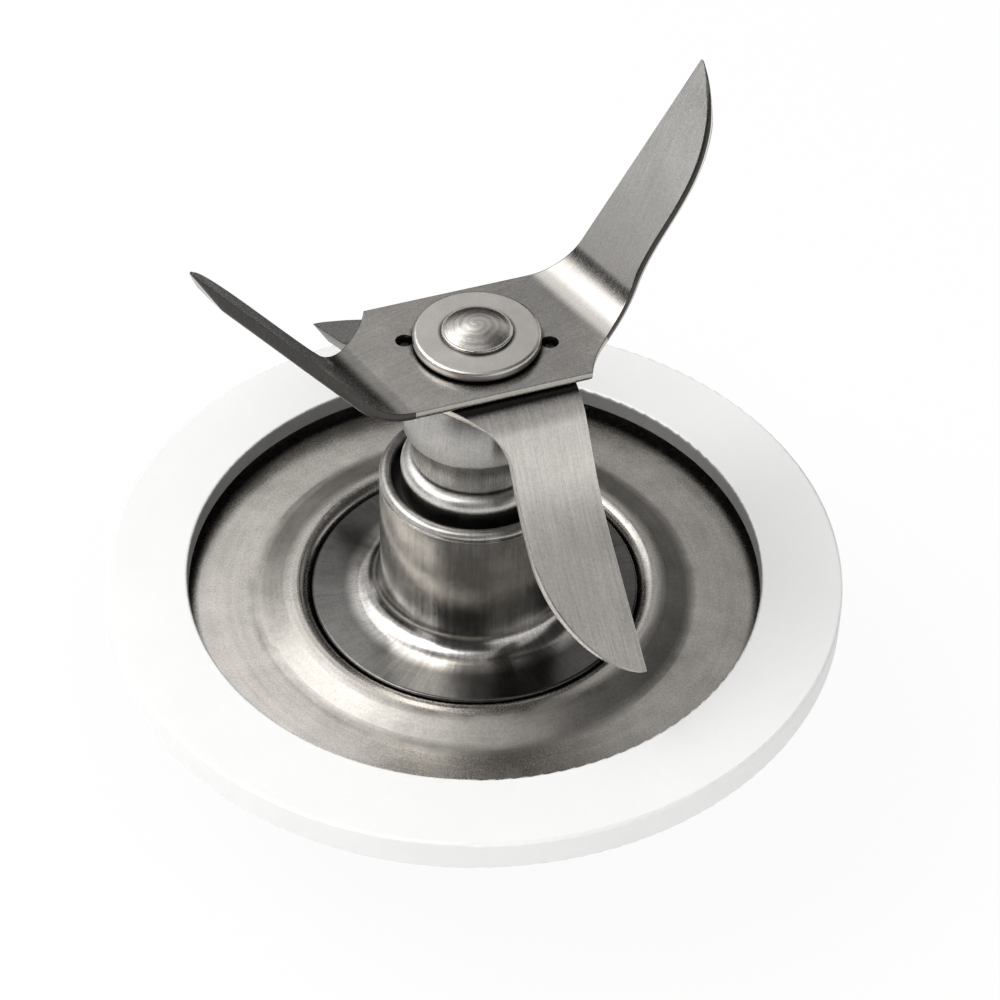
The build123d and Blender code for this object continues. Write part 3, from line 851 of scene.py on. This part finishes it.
class JARBLADES_OT_lower_blade(bpy.types.Operator):
    """Lower sheet blade, both arms bent down and eased out, with its two pips"""

    bl_idname = "jar_blades.lower_blade"
    bl_label = "Lower blade"

    def execute(self, context):
        sheet, colours = context.scene.jar_blade_sheet, context.scene.jar_blade_colours
        edge = np.vstack((smooth_curve(LOWER_FLARE, ALONG, ALONG), smooth_curve(LOWER_BELLY, ALONG, ACROSS)))
        fold = (sheet.lower_fold_at / MM, sheet.lower_fold_radius / MM, -sheet.lower_down)
        ease = sheet.lower_ease_at / MM, sheet.lower_ease_radius / MM
        upper_face = blades_foot + sheet_thickness
        blade = sheet_blade(
            "lower_blade_sheet", edge, LOWER_SPINE, [fold, (*ease, sheet.lower_front_ease)],
            [fold, (*ease, sheet.lower_rear_ease)], LOWER_PLAN, upper_face, sheet.lower_roll / MM, sheet,
            lower_finishes(colours), 2)
        blade = combined(blade, tenon_tool(), "DIFFERENCE")
        pip = rounded_outline([(0.02, -0.4, 0), (0.5, -0.4, 0), (0.5, 0.45, 0.2), (0.02, 0.45, 0)])
        for place in PIP_PLACES:
            tool = revolved("pip", pip + (0.0, upper_face), place)
            blade = combined(blade, tool, "UNION")
        finish_blade(blade, "lower_blade")
        return {"FINISHED"}


class JARBLADES_OT_housing(bpy.types.Operator):
    """Turned housing with a rolled mouth, a filleted flange and a threaded spigot"""

    bl_idname = "jar_blades.housing"
    bl_label = "Threaded housing"

    def execute(self, context):
        sizes, colours = context.scene.jar_blade_housing, context.scene.jar_blade_colours
        high = millimetres("bearing_housing")[1]
        cup_low, cup_high = millimetres("seal_cup")
        bush_low, bush_high = millimetres("lower_bushing")
        flange_under = millimetres("flange_seal")[1][2]
        thread_top = np.mean([corner[2] for corner in millimetres("backing_washer")])
        barrel, spigot, bore = sizes.barrel_radius / MM, sizes.spigot_radius / MM, sizes.socket_bore / MM
        pitch, depth, lead = sizes.thread_pitch / MM, sizes.thread_depth / MM, sizes.thread_lead / MM
        flange, mouth_top, mouth, mouth_floor = high[0], high[2], cup_high[0], cup_low[2]
        flange_top = flange_under + FLANGE_THICKNESS
        lip = 0.46 * (barrel - mouth)
        groove_top = mouth_top - GROOVE_FROM_TOP
        groove_foot, groove_floor = groove_top - GROOVE_WIDTH, barrel - GROOVE_DEPTH
        outline = rounded_outline([
            (bore, 0.25, 0), (bore + 0.25, 0, 0), (spigot - lead, 0, 0), (spigot, lead, 0),
            (spigot, flange_under, 0), (flange, flange_under, 0.1), (flange, flange_top, 0.25),
            (barrel, flange_top, sizes.foot_fillet / MM),
            (barrel, groove_foot, 0.03), (groove_floor, groove_foot, 0.03),
            (groove_floor, groove_top, 0.03), (barrel, groove_top, 0.03),
            (barrel, mouth_top, lip), (mouth, mouth_top, lip), (mouth, mouth_floor, 0),
            (bush_high[0], mouth_floor, 0), (bush_high[0], bush_low[2], 0), (bore, bush_low[2], 0)])
        threaded = (outline[:, 0] > spigot - lead - 0.01) & (outline[:, 1] < flange_under)
        outline = divided(outline, np.where(threaded, pitch / 10, np.inf))

        def thread(radius, height, angle):
            """Saw of even flanks along the height, shifted by one pitch in a turn, cut into spigot and chamfer."""
            phase = (height / pitch - angle / (2 * np.pi)) % 1.0
            flank = np.clip(1.25 * np.abs(2 * phase - 1) - 0.125, 0, 1)
            floor = spigot - depth * flank * np.clip((thread_top - height) / 0.2, 0, 1)
            on_spigot = (radius > spigot - lead - 0.01) & (radius < spigot + 0.01) & (height < flange_under)
            return np.where(on_spigot, np.maximum(radius - floor, 0.0), 0.0)

        housing = shaded(revolved("housing_turned", outline, cut=thread), 50.0)

        def flange_and_mouth_darkening(finish, radius, z):
            """Share painted darker: most of the way on the flange, and wholly inside the mouth, where it is painted
            shade.
            """
            flange_share = 0.82 * finish.limited(radius, barrel + 1.8, barrel + 3.2)
            return finish.maths("MAXIMUM", flange_share, 1 - finish.limited(radius, mouth, mouth + 0.1))

        def lip_top(finish, radius, z):
            return finish.limited(z, mouth_top - 0.5, mouth_top - 0.3)

        housing.data.materials.append(turned_steel(
            "housing_steel", colours.turned_steel, 0.19, 0.003, 0.8, flange_and_mouth_darkening, 0.08, lip_top))
        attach(housing, "base")
        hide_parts("bearing_housing")
        return {"FINISHED"}


class JARBLADES_OT_steel_finishes(bpy.types.Operator):
    """Finishes of the plate, cup, sleeve, collar, washers, nut and shaft"""

    bl_idname = "jar_blades.steel_finishes"
    bl_label = "Steel finishes"

    def execute(self, context):
        colours = context.scene.jar_blade_colours
        cup_top = millimetres("seal_cup")[1][2]
        sleeve_foot, sleeve_top = (corner[2] for corner in millimetres("spacer_sleeve"))

        def cup_wall_shade(finish, radius, z):
            """Painted shade on the cup's wall, in the groove under its rounded shoulder."""
            return finish.limited(cup_top - z, 0.9, 1.3)

        def sleeve_end_shade(finish, radius, z):
            """Painted shade at both ends of the sleeve: under the collar's rim and at its foot over the cup."""
            return finish.maths("MAXIMUM", 0.8 * finish.limited(z, sleeve_top - 2.3, sleeve_top - 0.9),
                                1 - finish.limited(z, sleeve_foot, sleeve_foot + 0.3))

        dress(pressed_plate("plate_steel", colours.pressed_steel), "base_plate")
        # Painted light: the cup's steel is a brightened copy of the turned steel, which whitens the highlight on its
        # shoulder.
        dress(turned_steel("cup_steel", scaled(colours.turned_steel, 1.3), SATIN_ROUGHNESS, 0.001, 0.4, cup_wall_shade, 0.1),
              "seal_cup")
        dress(turned_steel("sleeve_steel", colours.turned_steel, 0.26, 0.006, 0.8, sleeve_end_shade, 0.2), "spacer_sleeve")
        dress(turned_steel("collar_steel", scaled(colours.turned_steel, 0.82), 0.33, 0.003, 0.6), "dome_collar")
        dress(washer_face("washer_steel", scaled(colours.blade_steel, 0.88), 0.36), "top_washer")
        dress(spun_head("shaft_steel", scaled(colours.plain_steel, 1.2)), "drive_shaft")
        dress(rolled_steel("nut_steel", colours.plain_steel, 0.34), "backing_washer", "clamp_nut")
        return {"FINISHED"}


class JARBLADES_OT_soft_finishes(bpy.types.Operator):
    """Finishes of the rubber, nylon, bronze and felt pieces"""

    bl_idname = "jar_blades.soft_finishes"
    bl_label = "Rubber, nylon, bronze and felt"

    def execute(self, context):
        colours = context.scene.jar_blade_colours
        dress(moulded("ring_rubber", colours.white_rubber, 0.55, 0.03, 3.0, 0.012, True), "sealing_ring")
        dress(moulded("seal_rubber", colours.black_rubber, 0.5, 0.3, 5.0, 0.01), "flange_seal", "shaft_seal")
        dress(moulded("socket_nylon", colours.black_nylon, 0.42, 0.2, 4.0, 0.01),
              "drive_socket", "upper_thrust_washer", "lower_thrust_washer")
        dress(moulded("bush_bronze", colours.bronze, 0.5, 0.3, 7.0, 0.015), "upper_bushing", "lower_bushing")
        dress(moulded("ring_felt", colours.felt, 0.9, 0.35, 9.0, 0.05), "felt_oil_ring")
        return {"FINISHED"}


def camera_turn(pitch, yaw, roll):
    """Camera's axes from its angles down, to the left and about its own view, in degrees."""
    pitch, yaw, roll = np.radians((pitch, yaw, roll))
    side = np.array([np.cos(yaw), np.sin(yaw), 0.0])
    away = np.array([-np.sin(yaw), np.cos(yaw), 0.0])
    up = np.array([0.0, 0.0, 1.0])
    view = np.cos(pitch) * away - np.sin(pitch) * up
    level_up = np.sin(pitch) * away + np.cos(pitch) * up
    right = np.cos(roll) * side + np.sin(roll) * level_up
    return np.stack((right, -np.sin(roll) * side + np.cos(roll) * level_up, -view), axis=1)


def placed(thing, turn, place):
    """Puts a camera or lamp at a place in millimetres with given axes."""
    thing.matrix_world = Matrix.Translation(np.asarray(place) * MM) @ Matrix(turn.tolist()).to_4x4()
    bpy.context.scene.collection.objects.link(thing)
    return thing


def facing(place, target):
    """Axes of a lamp or card at a place whose back looks away from a target."""
    back = np.asarray(place, float) - np.asarray(target, float)
    back /= np.linalg.norm(back)
    side = np.cross((0.0, 0.0, 1.0), back)
    side = side / np.linalg.norm(side) if np.linalg.norm(side) > 1e-6 else np.array([1.0, 0.0, 0.0])
    return np.stack((side, np.cross(back, side), back), axis=1)


def soft_lamp(name, azimuth, elevation, distance, size, power):
    """Square area lamp that faces the object from a direction. Metal reflects the light boxes in its place."""
    lamp = bpy.data.lights.new(name, "AREA")
    lamp.shape, lamp.size, lamp.energy = "SQUARE", size * MM, power
    place = np.asarray(FLAG_MIDDLE) + distance * directed(azimuth, elevation)
    thing = placed(bpy.data.objects.new(name, lamp), facing(place, FLAG_MIDDLE), place)
    thing.visible_camera = thing.visible_glossy = False


def directed(azimuth, elevation):
    """Unit vector towards an azimuth, from the back round to the right, and an elevation, in degrees."""
    azimuth, elevation = np.radians((azimuth, elevation))
    return np.array([np.sin(azimuth) * np.cos(elevation), np.cos(azimuth) * np.cos(elevation), np.sin(elevation)])


def card(name, corners, shade, soft):
    """Card that only reflections see, as a studio flag or light box shapes what polished metal shows.

    It fades out towards its edges over a share of its width and height.
    """
    mesh = bpy.data.meshes.new(name)
    mesh.from_pydata((np.asarray(corners) * MM).tolist(), [], [[0, 1, 2, 3]])
    mesh.uv_layers.new(name="spread").data.foreach_set("uv", [0, 0, 1, 0, 1, 1, 0, 1])
    finish = new_finish(name + "_card")
    u, v, _ = finish.parts(finish.node("ShaderNodeTexCoord", output="UV"))
    solid = (finish.limited(u, 0.0, soft) * finish.limited(1 - u, 0.0, soft)
             * finish.limited(v, 0.0, soft) * finish.limited(1 - v, 0.0, soft))
    clear = finish.node("ShaderNodeBsdfTransparent")
    paint = finish.node("ShaderNodeEmission", None, {"Strength": shade})
    finish.output(finish.node("ShaderNodeMixShader", None, {0: solid, 1: clear, 2: paint}))
    mesh.materials.append(finish.owner)
    made = bpy.data.objects.new(name, mesh)
    bpy.context.scene.collection.objects.link(made)
    made.visible_camera = made.visible_diffuse = made.visible_shadow = False


def flag(name, azimuth, elevation, width, height, distance, shade, soft):
    """Card that faces the object from a direction."""
    place = np.asarray(FLAG_MIDDLE) + distance * directed(azimuth, elevation)
    turn = facing(place, FLAG_MIDDLE)
    half_width, half_height = (distance * np.tan(np.radians(angle / 2)) for angle in (width, height))
    across, along = np.array([-1, 1, 1, -1]) * half_width, np.array([-1, -1, 1, 1]) * half_height
    card(name, place + across[:, None] * turn[:, 0] + along[:, None] * turn[:, 1], shade, soft)


class JARBLADES_OT_stage(bpy.types.Operator):
    """Floor, studio walls, lamps and the camera"""

    bl_idname = "jar_blades.stage"
    bl_label = "Stage"

    def execute(self, context):
        values = context.scene.jar_blade_stage
        self.make_floor(values)
        self.make_walls(context, values)
        soft_lamp("key_lamp", -90, 45, 540, 460, values.key_power)
        soft_lamp("fill_lamp", 168, 46, 600, 500, values.fill_power)
        for row in FLAGS:
            flag(*row)
        card("back_floor_flag", [(-130, 40, 1), (130, 40, 1), (130, 150, 1), (-130, 150, 1)], 0.06, 0.2)
        camera = bpy.data.cameras.new("camera")
        camera.sensor_width, camera.lens = 36.0, 108.0
        camera.clip_start = 0.01
        context.scene.camera = placed(
            bpy.data.objects.new("camera", camera), camera_turn(43.434, -0.646, 1.017), (0, -174.5, 192.23))
        context.scene.view_settings.view_transform = "Standard"
        return {"FINISHED"}

    def make_floor(self, values):
        """Wide round floor just under the foot."""
        radius = np.array([1.0, 30.0, 100.0, 400.0, 1500.0, 6000.0])[:, None]
        angle = np.linspace(0, 2 * np.pi, 96, endpoint=False)[None, :]
        points = np.stack((radius * np.cos(angle), radius * np.sin(angle), -0.05 + 0 * radius * angle), axis=-1)
        rows, columns = points.shape[:2]
        mesh = bpy.data.meshes.new("floor")
        faces = grid_faces(rows, columns) + [list(range(columns))]
        mesh.from_pydata((points.reshape(-1, 3) * MM).tolist(), [], faces)
        floor = bpy.data.objects.new("floor", mesh)
        bpy.context.scene.collection.objects.link(floor)
        finish = new_finish("floor_paint")
        seen = finish.background_share()
        paint = finish.node("ShaderNodeBsdfDiffuse", None, {"Color": (*values.floor_colour, 1.0)})
        white = finish.node("ShaderNodeEmission", None, {"Strength": 1.0})
        finish.output(finish.node("ShaderNodeMixShader", None, {0: seen * values.floor_lift, 1: paint, 2: white}))
        mesh.materials.append(finish.owner)

    def make_walls(self, context, values):
        """Studio round the object: bright at the horizon, greyer overhead."""
        world = bpy.data.worlds.new("studio")
        context.scene.world = world
        finish = Finish(world)
        rise = finish.parts(finish.node("ShaderNodeTexCoord", output="Generated"))[2]
        shown = finish.mixed(finish.limited(rise, 0.05, 0.7), (values.horizon,) * 3, (values.ceiling,) * 3)
        colour = finish.mixed(finish.background_share(), (values.ambient,) * 3, shown)
        finish.output(finish.node("ShaderNodeBackground", None, {"Color": colour, "Strength": 1.0}))


class JARBLADES_PT_panel(bpy.types.Panel):
    """Jar blades in the sidebar"""

    bl_label = "Jar Blades"
    bl_idname = "JARBLADES_PT_panel"
    bl_space_type = "VIEW_3D"
    bl_region_type = "UI"
    bl_category = "Jar Blades"

    def draw(self, context):
        for operator in OPERATORS:
            self.layout.operator(operator.bl_idname)
        for name in SETTINGS:
            group = getattr(context.scene, name)
            box = self.layout.box()
            for key in group.bl_rna.properties.keys():
                if key not in ("rna_type", "name"):
                    box.prop(group, key)


OPERATORS = (
    JARBLADES_OT_upper_blade, JARBLADES_OT_lower_blade, JARBLADES_OT_housing, JARBLADES_OT_steel_finishes,
    JARBLADES_OT_soft_finishes, JARBLADES_OT_stage,
)
SETTINGS = {
    "jar_blade_sheet": JarBladeSheet, "jar_blade_housing": JarBladeHousing,
    "jar_blade_colours": JarBladeColours, "jar_blade_stage": JarBladeStage,
}


def register():
    for cls in (*SETTINGS.values(), *OPERATORS, JARBLADES_PT_panel):
        bpy.utils.register_class(cls)
    for name, group in SETTINGS.items():
        setattr(bpy.types.Scene, name, PointerProperty(type=group))


def unregister():
    for name in SETTINGS:
        delattr(bpy.types.Scene, name)
    for cls in (JARBLADES_PT_panel, *reversed(OPERATORS), *reversed(tuple(SETTINGS.values()))):
        bpy.utils.unregister_class(cls)


def main():
    register()
    bpy.ops.jar_blades.upper_blade()
    bpy.ops.jar_blades.lower_blade()
    bpy.ops.jar_blades.housing()
    bpy.ops.jar_blades.steel_finishes()
    bpy.ops.jar_blades.soft_finishes()
    bpy.ops.jar_blades.stage()


if __name__ == "__main__":
    main()
